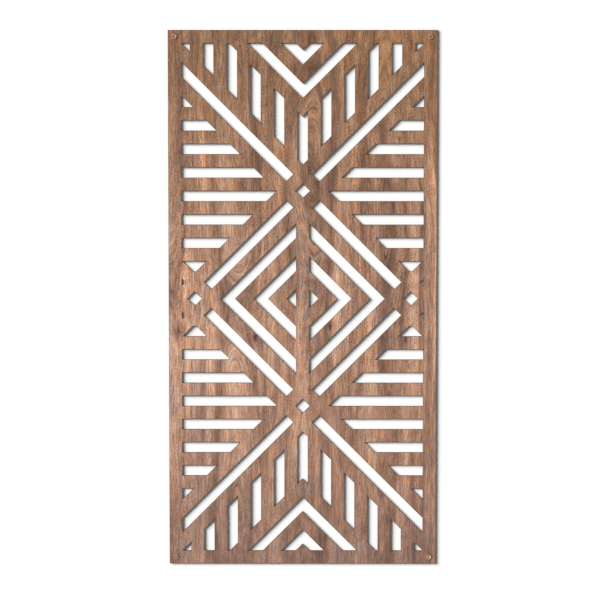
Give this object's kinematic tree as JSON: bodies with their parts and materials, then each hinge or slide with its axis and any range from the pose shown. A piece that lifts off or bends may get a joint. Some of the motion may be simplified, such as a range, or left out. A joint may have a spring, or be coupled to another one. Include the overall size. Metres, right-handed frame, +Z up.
{
  "type": "pierced screen panel",
  "caption": "Thin flat upright walnut screen panel, pierced by a mirrored geometric lattice of straight slots, with a small domed brass screw in each corner.",
  "frame": {"origin": "centre of the panel's flat back face, on its central rib", "axes": "+Z up along the panel's height, +X to the viewer's right seen from the front, -Y out of the front face, +Y out of the back face"},
  "size_m": [0.61, 0.0089, 1.22],
  "materials": {
    "walnut": "satin oiled walnut veneer with scorched cut edges",
    "brass": "aged satin brass"
  },
  "bodies": {
    "root": {"panel": "walnut", "screw_top_left": "brass", "screw_top_right": "brass", "screw_bottom_left": "brass", "screw_bottom_right": "brass"}
  },
  "joints": []
}
